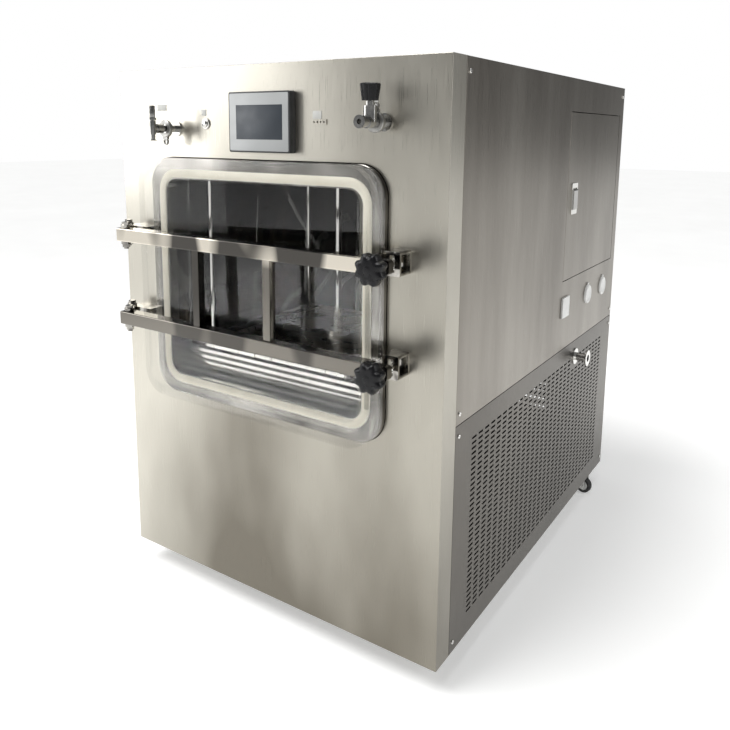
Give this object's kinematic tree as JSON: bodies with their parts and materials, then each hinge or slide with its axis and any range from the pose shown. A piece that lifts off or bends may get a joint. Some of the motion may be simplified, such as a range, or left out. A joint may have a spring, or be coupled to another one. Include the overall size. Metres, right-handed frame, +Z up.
{
  "type": "freeze dryer",
  "caption": "Floor-standing freeze dryer: square vacuum chamber behind a clear clamped door, stainless cabinet, touch screen and casters.",
  "frame": {"origin": "bottom centre of the whole machine, on the floor", "axes": "+Z up, +X to the right seen from the front, front faces -Y"},
  "size_m": [1.149, 1.606, 1.578],
  "materials": {
    "brushed_skin": "brushed",
    "frame_steel": "satin",
    "polished_steel": "polished",
    "vessel_steel": "satin",
    "clear_slab": "clear",
    "gasket_white": "matte",
    "black_plastic": "gloss",
    "screen_frame": "satin",
    "screen_glass": "gloss",
    "white_plastic": "satin",
    "clamp_alloy": "cast",
    "module_grey": "matte",
    "machine_black": "satin",
    "hose_braid": "braided",
    "fork_zinc": "zinc",
    "wheel_black": "matte"
  },
  "bodies": {
    "cabinet": {"frame": "frame_steel", "right_upper_panel": "brushed_skin", "right_lower_panel": "brushed_skin", "left_upper_panel": "brushed_skin", "left_lower_panel": "brushed_skin", "front_panel": "brushed_skin", "rear_panel": "brushed_skin", "top_panel": "brushed_skin", "panel_screws": "polished_steel", "chamber": "vessel_steel", "door_gasket": "gasket_white", "hinge_brackets": "frame_steel", "clamp_keepers": "frame_steel", "touch_screen_housing": "screen_frame", "touch_screen_glass": "screen_glass", "button_bezel": "polished_steel", "sensor_sockets": "white_plastic", "vent_valve_body": "polished_steel", "charge_valve_body": "polished_steel", "valve_clamps": "clamp_alloy", "valve_spigots": "polished_steel", "cabinet_box": "frame_steel", "control_modules": "module_grey", "vacuum_port": "polished_steel", "side_covers": "white_plastic", "shelf_one": "vessel_steel", "guide_rods": "polished_steel", "oil_hoses": "hose_braid", "compressor": "machine_black", "condenser": "clamp_alloy", "cold_trap": "vessel_steel", "caster_plates": "frame_steel"},
    "door_link": {"hinge_links": "polished_steel"},
    "vessel_door": {"door_slab": "clear_slab", "clamp_bars": "polished_steel"},
    "upper_bolt": {"upper_clamp_bolt": "polished_steel"},
    "upper_feed": {"upper_clamp_washer": "polished_steel"},
    "upper_knob": {"upper_star_knob": "black_plastic"},
    "lower_bolt": {"lower_clamp_bolt": "polished_steel"},
    "lower_feed": {"lower_clamp_washer": "polished_steel"},
    "lower_knob": {"lower_star_knob": "black_plastic"},
    "start_button": {"push_button": "white_plastic"},
    "vent_stem": {"vent_valve_stem": "black_plastic"},
    "charge_knob": {"charge_valve_knob": "black_plastic"},
    "control_door": {"cabinet_door": "brushed_skin", "latch_seat": "brushed_skin"},
    "latch": {"latch_lever": "polished_steel"},
    "press": {"pressing_plate": "vessel_steel", "ram_rod": "polished_steel"},
    "shelf_2": {"shelf_two": "vessel_steel"},
    "shelf_3": {"shelf_three": "vessel_steel"},
    "fan": {"fan_rotor": "machine_black"},
    "swivel_front_left": {"caster_fork_front_left": "fork_zinc"},
    "roller_front_left": {"caster_wheel_front_left": "wheel_black"},
    "swivel_front_right": {"caster_fork_front_right": "fork_zinc"},
    "roller_front_right": {"caster_wheel_front_right": "wheel_black"},
    "swivel_rear_left": {"caster_fork_rear_left": "fork_zinc"},
    "roller_rear_left": {"caster_wheel_rear_left": "wheel_black"},
    "swivel_rear_right": {"caster_fork_rear_right": "fork_zinc"},
    "roller_rear_right": {"caster_wheel_rear_right": "wheel_black"}
  },
  "joints": [
    {"name": "link_pivot", "type": "hinge", "parent": "cabinet", "child": "door_link", "pos_m": [-0.5095, -0.68905, 0.983], "axis": [0, 0, -1], "range_deg": [0, 25]},
    {"name": "door_swing", "type": "hinge", "parent": "door_link", "child": "vessel_door", "pos_m": [-0.4655, -0.73605, 0.983], "axis": [0, 0, -1], "range_deg": [0, 90]},
    {"name": "upper_bolt_turn", "type": "hinge", "parent": "vessel_door", "child": "upper_bolt", "pos_m": [0.4125, -0.73605, 1.109], "axis": [0, -1, 0], "range_deg": [0, 90]},
    {"name": "upper_knob_feed", "type": "slide", "parent": "upper_bolt", "child": "upper_feed", "axis": [0, -1, 0], "range_m": [-0.00029, 0.0035]},
    {"name": "upper_knob_spin", "type": "hinge", "parent": "upper_feed", "child": "upper_knob", "pos_m": [0.4125, -0.74895, 1.109], "axis": [0, -1, 0], "range_deg": [-60.5, 720.5]},
    {"name": "lower_bolt_turn", "type": "hinge", "parent": "vessel_door", "child": "lower_bolt", "pos_m": [0.4125, -0.73605, 0.862], "axis": [0, -1, 0], "range_deg": [0, 90]},
    {"name": "lower_knob_feed", "type": "slide", "parent": "lower_bolt", "child": "lower_feed", "axis": [0, -1, 0], "range_m": [-0.00029, 0.0035]},
    {"name": "lower_knob_spin", "type": "hinge", "parent": "lower_feed", "child": "lower_knob", "pos_m": [0.4125, -0.74895, 0.862], "axis": [0, -1, 0], "range_deg": [-60.5, 720.5]},
    {"name": "button_press", "type": "slide", "parent": "cabinet", "child": "start_button", "axis": [0, 1, 0], "range_m": [0, 0.004], "stiffness_N_per_m": 400},
    {"name": "vent_turn", "type": "hinge", "parent": "cabinet", "child": "vent_stem", "pos_m": [-0.3355, -0.73405, 1.412], "axis": [0, 0, 1], "range_deg": [0, 720]},
    {"name": "charge_turn", "type": "hinge", "parent": "cabinet", "child": "charge_knob", "pos_m": [0.3585, -0.71205, 1.429], "axis": [0, 0, 1], "range_deg": [0, 720]},
    {"name": "control_door_swing", "type": "hinge", "parent": "cabinet", "child": "control_door", "pos_m": [0.5235, 0.74645, 1.205], "axis": [0, 0, 1], "range_deg": [0, 105]},
    {"name": "latch_flip", "type": "hinge", "parent": "control_door", "child": "latch", "pos_m": [0.5305, 0.24695, 1.227], "axis": [0, -1, 0], "range_deg": [0, 40], "stiffness_Nm_per_rad": 0.05},
    {"name": "plate_lift", "type": "slide", "parent": "cabinet", "child": "press", "axis": [0, 0, 1], "range_m": [0, 0.2]},
    {"name": "shelf_three_lift", "type": "slide", "parent": "cabinet", "child": "shelf_3", "axis": [0, 0, 1], "range_m": [0, 0.134]},
    {"name": "shelf_two_lift", "type": "slide", "parent": "cabinet", "child": "shelf_2", "axis": [0, 0, 1], "range_m": [0, 0.067]},
    {"name": "fan_spin", "type": "hinge", "parent": "cabinet", "child": "fan", "pos_m": [0.0745, 0.53295, 0.338], "axis": [1, 0, 0], "continuous": true},
    {"name": "swivel_turn_front_left", "type": "hinge", "parent": "cabinet", "child": "swivel_front_left", "pos_m": [-0.5095, -0.42705, 0.068], "axis": [0, 0, 1], "continuous": true},
    {"name": "wheel_roll_front_left", "type": "hinge", "parent": "swivel_front_left", "child": "roller_front_left", "pos_m": [-0.53393, -0.43594, 0.0315], "axis": [0.342, -0.9397, 0], "continuous": true},
    {"name": "swivel_turn_front_right", "type": "hinge", "parent": "cabinet", "child": "swivel_front_right", "pos_m": [0.4665, -0.42705, 0.068], "axis": [0, 0, 1], "continuous": true},
    {"name": "wheel_roll_front_right", "type": "hinge", "parent": "swivel_front_right", "child": "roller_front_right", "pos_m": [0.45761, -0.45148, 0.0315], "axis": [0.9397, -0.342, 0], "continuous": true},
    {"name": "swivel_turn_rear_left", "type": "hinge", "parent": "cabinet", "child": "swivel_rear_left", "pos_m": [-0.5095, 0.63895, 0.068], "axis": [0, 0, 1], "continuous": true},
    {"name": "wheel_roll_rear_left", "type": "hinge", "parent": "swivel_rear_left", "child": "roller_rear_left", "pos_m": [-0.5308, 0.62404, 0.0315], "axis": [0.5736, -0.8192, 0], "continuous": true},
    {"name": "swivel_turn_rear_right", "type": "hinge", "parent": "cabinet", "child": "swivel_rear_right", "pos_m": [0.4825, 0.65895, 0.068], "axis": [0, 0, 1], "continuous": true},
    {"name": "wheel_roll_rear_right", "type": "hinge", "parent": "swivel_rear_right", "child": "roller_rear_right", "pos_m": [0.50783, 0.6531, 0.0315], "axis": [0.225, 0.9744, 0], "continuous": true}
  ],
  "couplings": [
    {"joint": "upper_knob_spin", "follows": "upper_knob_feed", "rad_per_m": 3590.4},
    {"joint": "lower_knob_spin", "follows": "lower_knob_feed", "rad_per_m": 3590.4},
    {"joint": "shelf_three_lift", "follows": "plate_lift", "ratio": 0.66667},
    {"joint": "shelf_two_lift", "follows": "plate_lift", "ratio": 0.33333}
  ]
}
